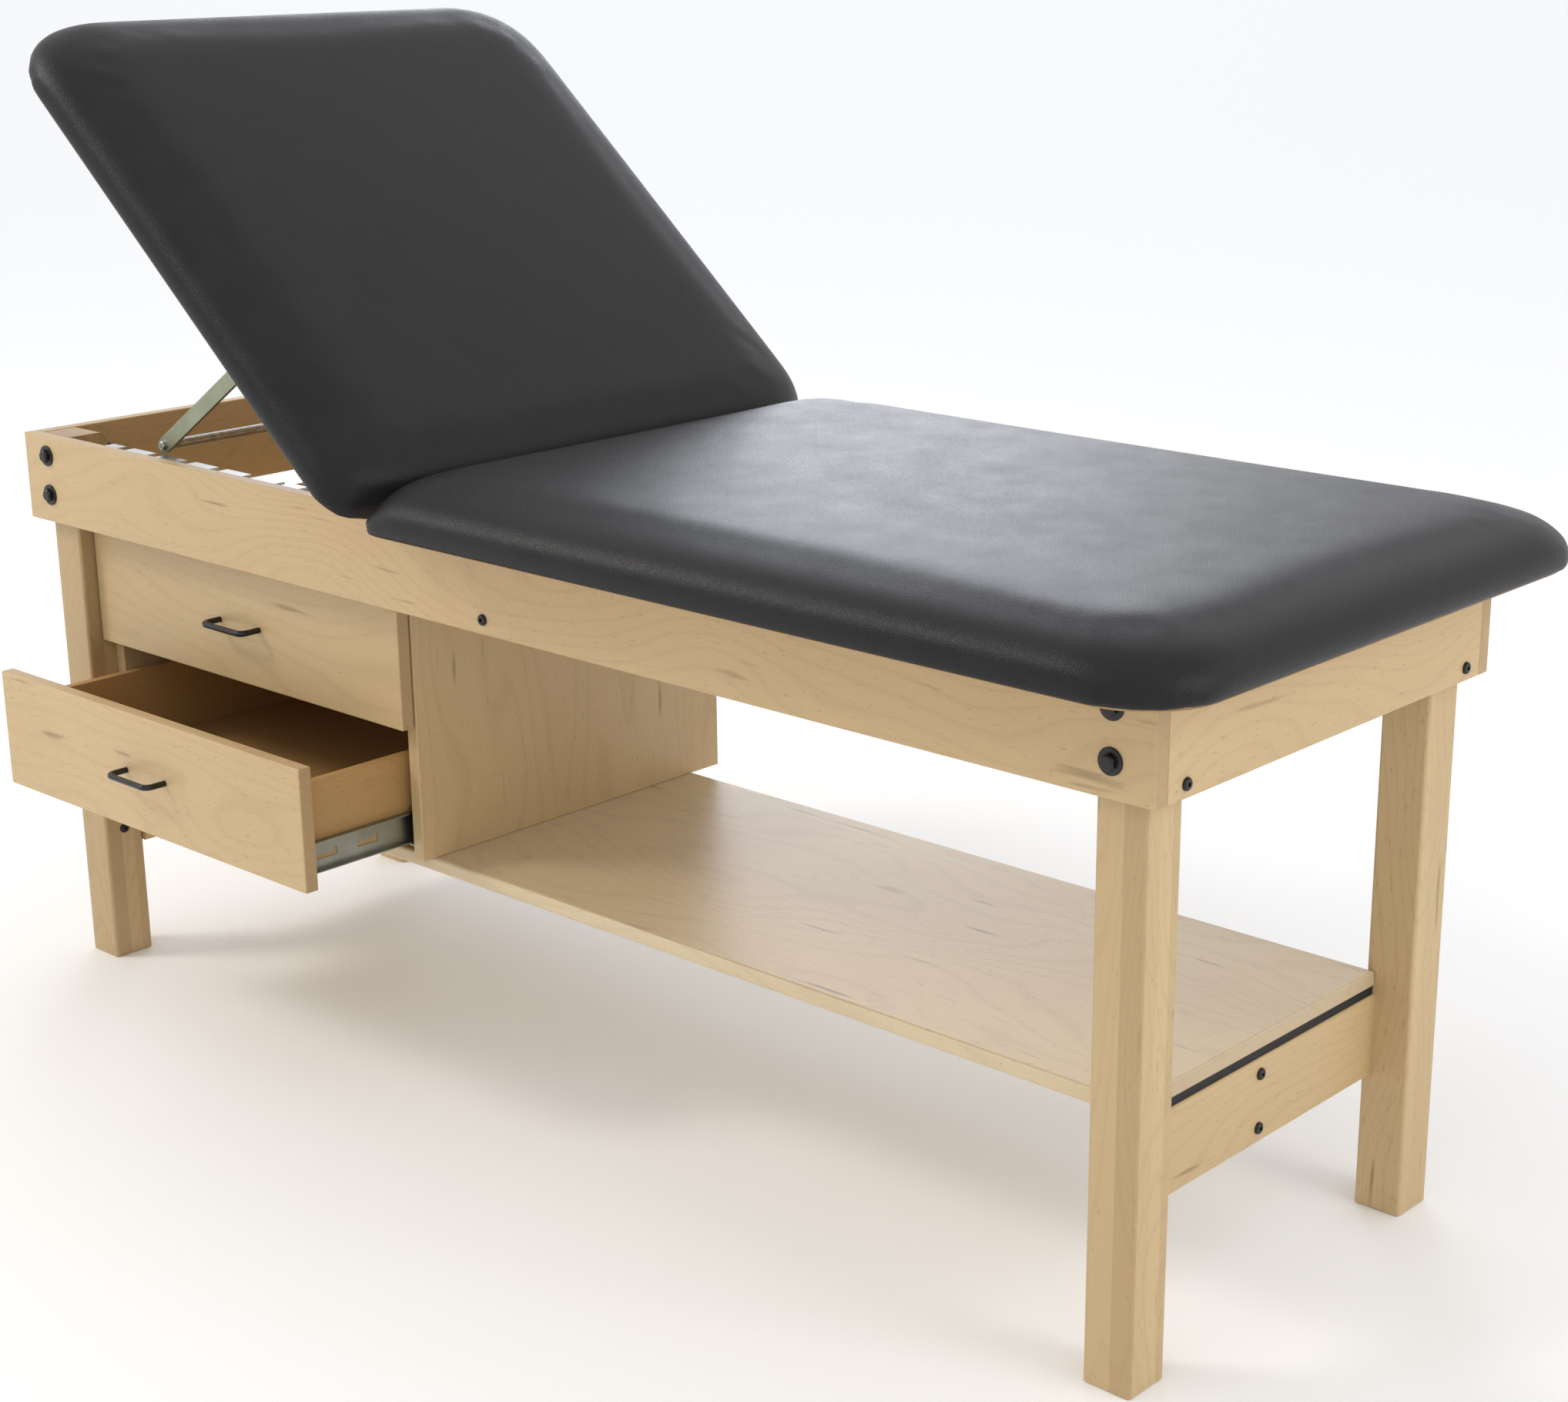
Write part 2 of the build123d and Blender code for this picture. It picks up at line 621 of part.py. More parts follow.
def back_pivot_plate(sy):
    """Cranked plate under the back board, with the eye that turns on the pivot pin."""
    outer = inner_y - pivot_plate - pivot_gap
    y0, y1 = sorted((sy * outer, sy * (outer - pivot_plate)))
    arm_x, arm_z = pivot_x - pivot_arm_length, pad_z - pivot_arm_depth
    crank_x = pivot_x - back_board_setback
    with BuildSketch(Plane.XZ) as side:
        with BuildLine():
            Polyline((arm_x, pad_z), (arm_x, arm_z), (crank_x, arm_z), (pivot_x + pivot_eye, pivot_z),
                     (pivot_x - pivot_eye, pivot_z), (crank_x + 1, pad_z), (arm_x, pad_z))
        make_face()
    arm = Pos(0, y1, 0) * extrude(side.sketch, pivot_plate)
    eye = rod((pivot_x, y0, pivot_z), (pivot_x, y1, pivot_z), 2 * pivot_eye)
    f0, f1 = sorted((sy * outer, sy * (outer - pivot_flange_width)))
    flange = block(arm_x, crank_x - pivot_plate_drop, f0, f1, pad_z - pivot_flange_thickness, pad_z)
    bore = rod((pivot_x, y0 - 1, pivot_z), (pivot_x, y1 + 1, pivot_z), pivot_pin + 2 * pivot_clearance)
    return (arm + eye + flange) - bore


def strut_top():
    """Strut pivot with the back flat."""
    return (pivot_x - pivot_x_offset - strut_reach, pad_z - strut_drop)


def strut_bracket(sy):
    """U-shaped bracket screwed under the back board, holding the strut's pivot pin."""
    x, z = strut_top()
    slot = strut_bar[0] / 2 + bracket_gap
    wall = slot + bracket_wall
    y = sy * strut_y
    half = bracket_length / 2
    outer = block(x - half, x + half, y - wall, y + wall, z, pad_z)
    outer += rod((x, y - wall, z), (x, y + wall, z), bracket_eye)
    slot_cut = block(x - half - 1, x + half + 1, y - slot, y + slot, z - bracket_eye, pad_z - bracket_wall)
    bore = rod((x, y - wall - 1, z), (x, y + wall + 1, z), strut_pin)
    return (outer - slot_cut) - bore


def strut_pivot_pin(sy):
    """Pin through one strut bracket."""
    x, z = strut_top()
    wall = strut_bar[0] / 2 + bracket_gap + bracket_wall
    y = sy * strut_y
    return rod((x, y - wall, z), (x, y + wall, z), strut_pin)


def flat_strut():
    """The two strut bars and their cross rod, lying as they do with the back flat."""
    x, z = strut_top()
    end_x = x - strut_length
    half, width = strut_bar[0] / 2, strut_bar[1]
    bars = []
    for sy in (-1, 1):
        y = sy * strut_y
        bar = block(end_x, x, y - half, y + half, z - width / 2, z + width / 2)
        for eye_x in (end_x, x):
            bar += rod((eye_x, y - half, z), (eye_x, y + half, z), width)
        bar -= rod((x, y - half - 1, z), (x, y + half + 1, z), strut_pin + 2 * pivot_clearance)
        bar -= rod((end_x, y - half - 1, z), (end_x, y + half + 1, z), rod_diameter)
        bars.append(bar)
    reach = rack_inner_y - rod_end_gap
    cross = rod((end_x, -reach, z), (end_x, reach, z), rod_diameter)
    cross = chamfer(cross.edges().filter_by(GeomType.CIRCLE), 1.0)
    return {"strut_bars": bars, "strut_rod": [cross]}


def turned(solid, x, z, angle):
    """A solid turned about an axis along Y through x, z; a positive angle lifts its head side."""
    axis = Axis((x, 0, z), (0, 1, 0))
    return solid.rotate(axis, angle)


def build_back_lift():
    for name, solids in flat_backrest().items():
        add(name, "backrest", [turned(solid, pivot_x, pivot_z, back_angle) for solid in solids])
    flat_x, flat_z = strut_top()
    top_x, top_z = strut_top_raised()
    for name, solids in flat_strut().items():
        moved = [Pos(top_x - flat_x, 0, top_z - flat_z) * solid for solid in solids]
        add(name, "strut", [turned(solid, top_x, top_z, -strut_angle) for solid in moved])


def strut_top_raised():
    """Strut pivot as the table stands, with the back raised."""
    flat_x, flat_z = strut_top()
    dx, dz = flat_x - pivot_x, flat_z - pivot_z
    a = radians(back_angle)
    return (pivot_x + dx * cos(a) + dz * sin(a), pivot_z - dx * sin(a) + dz * cos(a))


def build_fixed_pivots():
    plates, pins = [], []
    for sy in (-1, 1):
        y0, y1 = sorted((sy * inner_y, sy * (inner_y - pivot_plate)))
        half = pivot_plate_width / 2
        plate = block(pivot_x - half, pivot_x + half, y0, y1,
                      rail_bottom + pivot_plate_rise, rail_top - pivot_plate_drop)
        neck = block(pivot_x - pivot_eye, pivot_x + pivot_eye, y0, y1,
                     rail_top - 2 * pivot_plate_drop, pivot_z)
        eye = rod((pivot_x, y0, pivot_z), (pivot_x, y1, pivot_z), 2 * pivot_eye)
        tip = inner_y - 2 * pivot_plate - pivot_gap
        bore = rod((pivot_x, sy * (inner_y + 1), pivot_z), (pivot_x, sy * (tip - 1), pivot_z), pivot_pin)
        plates.append((plate + neck + eye) - bore)
        pins.append(rod((pivot_x, sy * inner_y, pivot_z), (pivot_x, sy * (tip - 2), pivot_z), pivot_pin))
    add("pivot_plates", "frame", plates)
    add("pivot_pins", "frame", pins)


def build_racks():
    rod_x = rod_place()
    first = rod_x - rack_slots_before * rack_pitch
    last = rod_x + rack_slots_after * rack_pitch
    x0 = first - rack_pitch * rack_end
    x1 = last + rack_pitch * rack_end
    count = rack_slots_before + rack_slots_after + 1
    screws = []
    for name, sy in (("rack_front", -1), ("rack_back", 1)):
        web_y0, web_y1 = sorted((sy * inner_y, sy * (inner_y - rack_wall)))
        slot_y0, slot_y1 = sorted((sy * (rack_inner_y - 1), sy * (rack_inner_y + rack_slot[1])))
        web = block(x0, x1, web_y0, web_y1, rack_top - rack_height, rack_top)
        flange = block(x0, x1, *sorted((sy * inner_y, sy * rack_inner_y)), rack_top - rack_wall, rack_top)
        rack = web + flange
        for i in range(count):
            x = first + i * rack_pitch
            rack -= block(x - rack_slot[0] / 2, x + rack_slot[0] / 2, slot_y0, slot_y1,
                          rack_top - rack_wall - 1, rack_top + 1)
        screw_z = rack_top - rack_height * rack_screw_place
        for i in range(rack_screws):
            x = x0 + (i + 0.5) * (x1 - x0) / rack_screws
            head_y = sy * (inner_y - rack_wall)
            rack -= rod((x, sy * (inner_y + 1), screw_z), (x, sy * (inner_y - rack_wall - 1), screw_z),
                        rack_screw + 2 * barrel_play)
            diameter, height = rack_screw_head
            head = rod((x, head_y, screw_z), (x, head_y - sy * height, screw_z), diameter)
            screws.append(head + rod((x, head_y, screw_z), (x, sy * inner_y, screw_z), rack_screw))
        add(name, "frame", rack)
    add("rack_screws", "frame", screws)


def rod_place():
    """Where the cross rod lies along the racks as the table stands."""
    top_x, _ = strut_top_raised()
    return top_x - strut_length * cos(radians(strut_angle))


# the strut bracket is measured from where the raised back's underside meets the rails
pivot_x_offset = pivot_rise * (1 - cos(radians(back_angle))) / sin(radians(back_angle))

build_rails()
build_legs()
build_corner_hardware()
build_small_hardware()
build_shelf()
build_cabinet()
build_drawer("upper", upper_front_z)
build_drawer("lower", lower_front_z)
build_seat()
build_fixed_pivots()
build_racks()
build_back_lift()

for name in bodies["lower_drawer"]:
    nodes[name] = [Pos(0, -lower_opening, 0) * solid for solid in nodes[name]]

# ---------------------------------------------------------------- origin and files
boxes = [solid.bounding_box() for solids in nodes.values() for solid in solids]
origin_x = (min(box.min.X for box in boxes) + max(box.max.X for box in boxes)) / 2
origin_y = (min(box.min.Y for box in boxes) + max(box.max.Y for box in boxes)) / 2
os.makedirs("parts", exist_ok=True)
for name, solids in nodes.items():
    moved = [Pos(-origin_x, -origin_y, 0) * solid for solid in solids]
    export_step(moved[0] if len(moved) == 1 else Compound(children=moved), f"parts/{name}.step")
print(len(nodes), "nodes; origin at", round(origin_x, 3), round(origin_y, 3))
print("back hinge at", round(pivot_x, 3), pivot_z, "from", -back_angle, "to", back_angle_max - back_angle, "degrees")
print("strut hinge at", *(round(value, 3) for value in strut_top_raised()), "turns", -(1 + strut_ratio), "per degree")
print("drawers travel", drawer_travel, "and the lower one stands", lower_opening, "out")
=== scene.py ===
"""Treatment table: the looks of every piece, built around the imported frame.

Lengths are metres unless a name ends in _mm. +X is the foot end, -Y the drawer side.
"""
import json
import math

import bpy
import numpy as np
from mathutils import Matrix, Vector

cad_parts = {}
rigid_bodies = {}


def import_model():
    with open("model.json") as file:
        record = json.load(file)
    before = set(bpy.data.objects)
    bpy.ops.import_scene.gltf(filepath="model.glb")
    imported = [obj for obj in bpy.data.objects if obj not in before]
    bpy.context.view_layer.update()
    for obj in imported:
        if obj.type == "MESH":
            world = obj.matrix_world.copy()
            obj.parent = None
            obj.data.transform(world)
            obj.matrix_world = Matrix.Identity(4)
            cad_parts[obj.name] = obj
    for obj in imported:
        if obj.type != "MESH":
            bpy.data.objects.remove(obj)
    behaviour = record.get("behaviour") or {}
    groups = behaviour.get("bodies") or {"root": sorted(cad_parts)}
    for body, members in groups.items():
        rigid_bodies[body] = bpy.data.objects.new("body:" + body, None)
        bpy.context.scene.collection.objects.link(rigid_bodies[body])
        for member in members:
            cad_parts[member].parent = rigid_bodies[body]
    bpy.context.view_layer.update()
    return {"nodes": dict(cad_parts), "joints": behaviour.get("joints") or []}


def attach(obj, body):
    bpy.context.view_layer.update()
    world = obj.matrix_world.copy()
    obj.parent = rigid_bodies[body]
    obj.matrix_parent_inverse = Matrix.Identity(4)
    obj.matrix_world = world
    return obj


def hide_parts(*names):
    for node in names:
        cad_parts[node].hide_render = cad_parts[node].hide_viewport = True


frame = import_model()
nodes = frame["nodes"]
MM = 0.001

# ---------------------------------------------------------------- camera and studio
CAMERA_PLACE = Vector((2.1626, -2.1153, 1.3886))
CAMERA_TURN = math.radians(41.93)     # from looking along +Y, towards -X
CAMERA_DROP = math.radians(17.20)     # below the horizon
CAMERA_ROLL = math.radians(-0.28)
CAMERA_LENS_MM = 61.13
CAMERA_SHIFT = (-0.0399, 0.0139)
SENSOR_MM = 36.0

FLOOR_SIZE = 120.0
STUDIO_MIDDLE = Vector((0, 0, 0.7))   # what both lights face
KEY_FROM = Vector((-0.62, -0.52, 0.60))
KEY_DISTANCE = 6.0
KEY_SIZE = (1.3, 1.3)
KEY_POWER = 95
SIDE_FROM = Vector((0.90, 0.10, 0.38))
SIDE_DISTANCE = 5.0
SIDE_SIZE = (1.6, 2.4)
SIDE_POWER = 42
ROOM_LIGHT = 1.0
WINDOW_LIGHT = 7.5                    # added to the room's light in the middle of the window
WINDOW_TURN = math.radians(43.5)      # same measure as CAMERA_TURN
WINDOW_SLOPE = 0.24                   # tangents of its height above the horizon,
WINDOW_HALF = (0.05, 0.01)            # of its half width and half height,
WINDOW_EDGE = 0.20                    # and of the soft edge round it

# ---------------------------------------------------------------- sizes of the cushions
PAD_CORNER = 90 * MM                  # plan corners away from the joint between the pads
SEAT_JOINT_CORNER = 32 * MM
BACK_JOINT_CORNER = 45 * MM
CORNER_SEGMENTS = 12
BOARD = 18 * MM                       # plywood under the foam
BOARD_SETBACK = 16 * MM               # the back's skin is left alone from here to its hinge
WRAP = 12 * MM                        # rim of the underside that stays vinyl
VOXEL = 7 * MM
ROLL_WIDTH = 120 * MM                 # how far in from the edge the top starts to fall
JOINT_ROLL_WIDTH = 70 * MM
ROLL_HEIGHT = 40 * MM
ROLL_POWER = 2.4                      # 2 is an ellipse; more is fuller at the rim
CORNER_POWER = 2.3                    # the same, for how two rolls meet in a corner
RISE = 4 * MM                         # filled foam stands this much above the plain pad,
CROWN = 5 * MM                        # and this much more in its middle
SWELL = 2 * MM                        # foam smaller than the pad by this, before the cloth step
MOST_SWELL = 2.5 * MM
SIM_FRAMES = 16
SIM_PRESSURE = 2.0
CLOTH_QUALITY = 4
CLOTH_STRETCH = 25
CLOTH_BENDING = 2.0
PIN_FADE = 20 * MM                    # height over which the vinyl comes free of the board
JOINT_FADE = 60 * MM                  # length over which it may swell fully, from the joint
LEAST_SWELL = 0.1                     # share of the swelling allowed at the joint itself
TOP_SMOOTHING = 16
SKIN_SMOOTHING = 12


# ---------------------------------------------------------------- small helpers
def colour(code):
    """sRGB hex to linear RGBA."""
    parts = [int(code[i:i + 2], 16) / 255 for i in (1, 3, 5)]
    linear = [c / 12.92 if c <= 0.04045 else ((c + 0.055) / 1.055) ** 2.4 for c in parts]
    return (*linear, 1.0)


def node(tree, kind, inputs=None, stops=None, **settings):
    """Adds a shader node: its settings, then values or links for its inputs, then colour stops."""
    made = tree.nodes.new("ShaderNode" + kind)
    for key, value in settings.items():
        setattr(made, key, value)
    for key, value in (inputs or {}).items():
        if isinstance(value, bpy.types.NodeSocket):
            tree.links.new(value, made.inputs[key])
        else:
            made.inputs[key].default_value = value
    if stops:
        elements = made.color_ramp.elements
        while len(elements) < len(stops):
            elements.new(0.5)
        for element, (place, shade) in zip(elements, stops):
            element.position = place
            element.color = colour(shade) if isinstance(shade, str) else (shade, shade, shade, 1)
    return made


def calculate(tree, operation, first, second=0.0):
    """One arithmetic node."""
    return node(tree, "Math", {0: first, 1: second}, operation=operation).outputs[0]


def new_material(name):
    """An empty node material with its output; returns (material, tree)."""
    material = bpy.data.materials.new(name)
    material.use_nodes = True
    tree = material.node_tree
    tree.nodes.clear()
    node(tree, "OutputMaterial")
    return material, tree


def finish_material(tree, settings, displacement=None):
    """Ends a material in one Principled shader."""
    if displacement:
        settings["Normal"] = displacement
    shader = node(tree, "BsdfPrincipled", settings)
    output = next(n for n in tree.nodes if n.type == "OUTPUT_MATERIAL")
    tree.links.new(shader.outputs["BSDF"], output.inputs["Surface"])


def paint(names, material):
    """Puts one material on CAD nodes or new pieces."""
    for name in [names] if isinstance(names, str) else names:
        obj = bpy.data.objects[name]
        obj.data.materials.clear()
        obj.data.materials.append(material)


def deselect():
    """Leaves edit mode and clears the selection."""
    if bpy.context.object and bpy.context.object.mode != "OBJECT":
        bpy.ops.object.mode_set(mode="OBJECT")
    bpy.ops.object.select_all(action="DESELECT")


def activate(obj):
    deselect()
    obj.select_set(True)
    bpy.context.view_layer.objects.active = obj


def apply_modifier(obj, kind, **settings):
    """Adds one modifier and applies it."""
    activate(obj)
    modifier = obj.modifiers.new(kind.title(), kind)
    for key, value in settings.items():
        setattr(modifier, key, value)
    bpy.ops.object.modifier_apply(modifier=modifier.name)


def points_of(obj):
    """A mesh's points as an array."""
    points = np.empty(len(obj.data.vertices) * 3)
    obj.data.vertices.foreach_get("co", points)
    return points.reshape(-1, 3)


def set_points(obj, points):
    obj.data.vertices.foreach_set("co", points.ravel())
    obj.data.update()


# ---------------------------------------------------------------- studio
def build_camera():
    back = Vector((math.sin(CAMERA_TURN) * math.cos(CAMERA_DROP),
                   -math.cos(CAMERA_TURN) * math.cos(CAMERA_DROP), math.sin(CAMERA_DROP)))
    right = (-back).cross(Vector((0, 0, 1))).normalized()
    up = back.cross(right)
    rolled_right = math.cos(CAMERA_ROLL) * right + math.sin(CAMERA_ROLL) * up
    rolled_up = math.cos(CAMERA_ROLL) * up - math.sin(CAMERA_ROLL) * right
    turn = Matrix((rolled_right, rolled_up, back)).transposed().to_4x4()
    bpy.ops.object.camera_add()
    camera = bpy.context.object
    camera.matrix_world = Matrix.Translation(CAMERA_PLACE) @ turn
    camera.data.sensor_width = SENSOR_MM
    camera.data.lens = CAMERA_LENS_MM
    camera.data.shift_x, camera.data.shift_y = CAMERA_SHIFT
    camera.data.clip_end = FLOOR_SIZE
    bpy.context.scene.camera = camera


def area_light(name, offset, size, power, tint):
    """A soft box that faces the middle of the studio from an offset."""
    bpy.ops.object.light_add(type="AREA", location=STUDIO_MIDDLE + offset)
    light = bpy.context.object
    light.name = name
    light.rotation_euler = (-offset).to_track_quat("-Z", "Y").to_euler()
    light.data.shape = "RECTANGLE"
    light.data.size, light.data.size_y = size
    light.data.energy = power
    light.data.color = colour(tint)[:3]
    light.visible_camera = False


def build_studio():
    bpy.ops.mesh.primitive_plane_add(size=FLOOR_SIZE)
    floor = bpy.context.object
    floor.name = "studio_floor"
    material, tree = new_material("studio_paper")
    finish_material(tree, {"Base Color": colour("#fafaf9"), "Roughness": 0.9})
    floor.data.materials.append(material)
    area_light("key", KEY_FROM * KEY_DISTANCE, KEY_SIZE, KEY_POWER, "#fff8ee")
    area_light("side", SIDE_FROM * SIDE_DISTANCE, SIDE_SIZE, SIDE_POWER, "#fbfaf6")
    bpy.context.scene.view_settings.view_transform = "Standard"
    build_room()


def build_room():
    """Even pale room with one large soft window low on the far side."""
    world = bpy.data.worlds.new("soft_room")
    bpy.context.scene.world = world
    world.use_nodes = True
    tree = world.node_tree
    where = node(tree, "TexCoord").outputs["Generated"]
    ahead = node(tree, "Mapping", {"Vector": where, "Rotation": (0, 0, -WINDOW_TURN)}).outputs[0]
    part = node(tree, "SeparateXYZ", {0: ahead}).outputs

    def fade(value, half):
        return node(tree, "MapRange", {0: value, 1: half, 2: half + WINDOW_EDGE, 3: 1.0, 4: 0.0},
                    interpolation_type="SMOOTHSTEP").outputs[0]

    depth = calculate(tree, "MAXIMUM", part["Y"], 0.001)
    sideways = calculate(tree, "ABSOLUTE", calculate(tree, "DIVIDE", part["X"], depth))
    height = calculate(tree, "SUBTRACT", calculate(tree, "DIVIDE", part["Z"], depth), WINDOW_SLOPE)
    across = fade(sideways, WINDOW_HALF[0])
    upright = fade(calculate(tree, "ABSOLUTE", height), WINDOW_HALF[1])
    glow = calculate(tree, "MULTIPLY", across, upright)
    tints = {0: glow, 6: colour("#f6f7fa"), 7: colour("#eef3ff")}
    shade = node(tree, "Mix", tints, data_type="RGBA").outputs[2]
    strength = calculate(tree, "ADD", calculate(tree, "MULTIPLY", glow, WINDOW_LIGHT), ROOM_LIGHT)
    background = tree.nodes["Background"]
    tree.links.new(shade, background.inputs["Color"])
    tree.links.new(strength, background.inputs["Strength"])


# ---------------------------------------------------------------- materials
GRAIN_TURN = {  # brings each board's length onto the pattern's X axis
    "x": (0, 0, 0),
    "y": (0, 0, math.radians(-90)),
    "z": (0, math.radians(90), 0),
}
WHITE_MAPLE = ("#d2ba8d", "#bd9e70")
# the same maple in paler tones, for the shelf alone: painted light standing in for the brighter light
# that falls on its top
SHELF_MAPLE_PAINTED_LIGHT = ("#e0cfae", "#cfba94")
DRAWER_BIRCH = ("#c39c62", "#a98350")
PLY_FACE = ("#c8a878", "#a98352")


def wood(name, along, seed, tones, ring_mm=9.0, rings=0.5, gloss=0.40, staves_mm=None, streaks=0.5):
    """Maple or birch, planed and sanded under clear satin lacquer.

    Gives the eye a pale even ground, faint growth lines that run along the board and close
    in arches, short darker flecks a few millimetres long, and now and then a mineral streak.
    Legs are glued from staves, so theirs change tone from strip to strip.
    """
    material, tree = new_material(name)
    where = node(tree, "TexCoord").outputs["Object"]
    place = (seed * 1.37, seed * 0.61, seed * 0.83)
    cut = node(tree, "Mapping", {
        "Vector": where, "Rotation": GRAIN_TURN[along], "Location": place,
    }).outputs["Vector"]

    def stretched(share):
        """The board's own coordinates, with the pattern drawn out along the grain."""
        scaled = node(tree, "VectorMath", {0: cut, 1: (share, 1, 1)}, operation="MULTIPLY")
        return scaled.outputs["Vector"]

    def noise(vector, size_mm, detail=2.0, rough=0.5):
        return node(tree, "TexNoise", {
            "Vector": vector, "Scale": 1 / (size_mm * MM), "Detail": detail, "Roughness": rough,
        }).outputs["Fac"]

    broad = noise(stretched(0.30), 150, 1.0)
    ripple = noise(stretched(0.30), 22, 2.0)
    across = node(tree, "SeparateXYZ", {0: cut}).outputs
    over = calculate(tree, "MULTIPLY", across["Y"], 0.32)
    through = calculate(tree, "MULTIPLY", across["Z"], 0.55)
    tilt = calculate(tree, "ADD", over, through)
    bent = calculate(tree, "ADD", tilt, calculate(tree, "MULTIPLY", broad, 0.16))
    bent = calculate(tree, "ADD", bent, calculate(tree, "MULTIPLY", ripple, 0.004))
    ring = calculate(tree, "FRACT", calculate(tree, "MULTIPLY", bent, 1 / (ring_mm * MM)))
    late_wood = [(0.0, 0.15), (0.62, 0.05), (0.90, 0.9), (1.0, 0.15)]
    ring_shade = node(tree, "ValToRGB", {0: ring}, stops=late_wood)
    fibre = noise(stretched(0.03), 1.4, 3.0, 0.6)
    dashes = noise(stretched(0.16), 2.2, 1.0)
    fleck = node(tree, "ValToRGB", {0: dashes}, stops=[(0.66, 0.0), (0.75, 1.0)])
    cloud = noise(stretched(0.45), 260, 2.0)
    minerals = noise(stretched(0.10), 14, 1.0)
    streak = node(tree, "ValToRGB", {0: minerals}, stops=[(0.71, 0.0), (0.79, 1.0)])

    light, dark = (colour(tone) for tone in tones)

    def shaded(red, green, blue):
        """The darker tone, darkened further in each channel."""
        return (dark[0] * red, dark[1] * green, dark[2] * blue, 1.0)

    normal = node(tree, "SeparateXYZ", {0: node(tree, "TexCoord").outputs["Normal"]})
    endways = calculate(tree, "ABSOLUTE", normal.outputs[along.upper()])
    cut_end = node(tree, "MapRange", {0: endways, 1: 0.7, 2: 0.9}).outputs[0]
    ground = node(tree, "Mix", {0: cloud, 6: light, 7: dark}, data_type="RGBA").outputs[2]
    if staves_mm:
        stave = [size * MM for size in staves_mm]
        cell = node(tree, "VectorMath", {0: where, 1: stave}, operation="SNAP")
        shift = node(tree, "TexWhiteNoise", {0: cell.outputs[0]}, noise_dimensions="3D").outputs["Value"]
        share = calculate(tree, "MULTIPLY", shift, 0.75)
        darker = shaded(0.80, 0.80, 0.80)
        ground = node(tree, "Mix", {0: share, 6: ground, 7: darker}, data_type="RGBA").outputs[2]
    for mask, strength, tone in (
        (ring_shade.outputs[0], 0.40 * rings, shaded(0.62, 0.62, 0.62)),
        (fleck.outputs[0], 0.40, shaded(0.45, 0.45, 0.45)),
        (streak.outputs[0], streaks, colour("#5b4126")),
        (cut_end, 0.55, shaded(0.66, 0.58, 0.56)),
        (fibre, 0.20, shaded(0.70, 0.70, 0.70)),
    ):
        share = calculate(tree, "MULTIPLY", mask, strength)
        ground = node(tree, "Mix", {0: share, 6: ground, 7: tone}, data_type="RGBA").outputs[2]
    sheen = node(tree, "MapRange", {0: fibre, 3: gloss - 0.05, 4: gloss + 0.10}).outputs[0]
    bump = node(tree, "Bump", {"Height": fibre, "Strength": 0.12, "Distance": 0.15 * MM}).outputs[0]
    finish_material(tree, {"Base Color": ground, "Roughness": sheen, "IOR": 1.5}, bump)
    return material


def upholstery_vinyl():
    """PVC-coated upholstery cloth, embossed with a fine leather grain and stretched over foam.

    Gives the eye a deep soft black with broad satin highlights, broken by a grain of cells
    2.4 mm across, and faint cloudy patches where the surface has been wiped and rubbed.
    """
    material, tree = new_material("upholstery_vinyl")
    where = node(tree, "TexCoord").outputs["Object"]
    warp = node(tree, "TexNoise", {"Vector": where, "Scale": 1 / (4 * MM), "Detail": 2.0})
    pushed = {0: 0.0006, 4: where, 5: warp.outputs["Color"]}
    bent = node(tree, "Mix", pushed, data_type="VECTOR").outputs[1]
    grain = {"Vector": bent, "Scale": 1 / (2.4 * MM)}
    cells = node(tree, "TexVoronoi", grain, feature="DISTANCE_TO_EDGE")
    creases = node(tree, "ValToRGB", {0: cells.outputs["Distance"]}, stops=[(0.0, 0.0), (0.22, 1.0)])
    patches = {"Vector": where, "Scale": 1 / (60 * MM), "Detail": 5.0, "Roughness": 0.6}
    rubbed = node(tree, "TexNoise", patches).outputs["Fac"]
    tone = node(tree, "ValToRGB", {0: rubbed}, stops=[(0.35, "#131314"), (0.7, "#1a1a1b")])
    shine = node(tree, "MapRange", {0: rubbed, 1: 0.3, 2: 0.7, 3: 0.36, 4: 0.42}).outputs[0]
    bump = node(tree, "Bump", {"Height": creases.outputs[0], "Strength": 0.6, "Distance": 0.18 * MM})
    finish_material(tree, {
        "Base Color": tone.outputs[0], "Roughness": shine, "IOR": 1.46, "Specular IOR Level": 0.30,
    }, bump.outputs[0])
    return material


def metal(name, light, dark, rough, size_mm):
    """Plated or oxidised steel: its tone and polish drift a little over the surface."""
    material, tree = new_material(name)
    where = node(tree, "TexCoord").outputs["Object"]
    patches = {"Vector": where, "Scale": 1 / (size_mm * MM), "Detail": 4.0}
    patch = node(tree, "TexNoise", patches).outputs["Fac"]
    tone = node(tree, "ValToRGB", {0: patch}, stops=[(0.3, dark), (0.7, light)]).outputs[0]
    polish = node(tree, "MapRange", {0: patch, 3: rough, 4: rough + 0.12}).outputs[0]
    bump = node(tree, "Bump", {"Height": patch, "Strength": 0.08, "Distance": 0.05 * MM}).outputs[0]
    finish_material(tree, {"Base Color": tone, "Metallic": 1.0, "Roughness": polish}, bump)
    return material


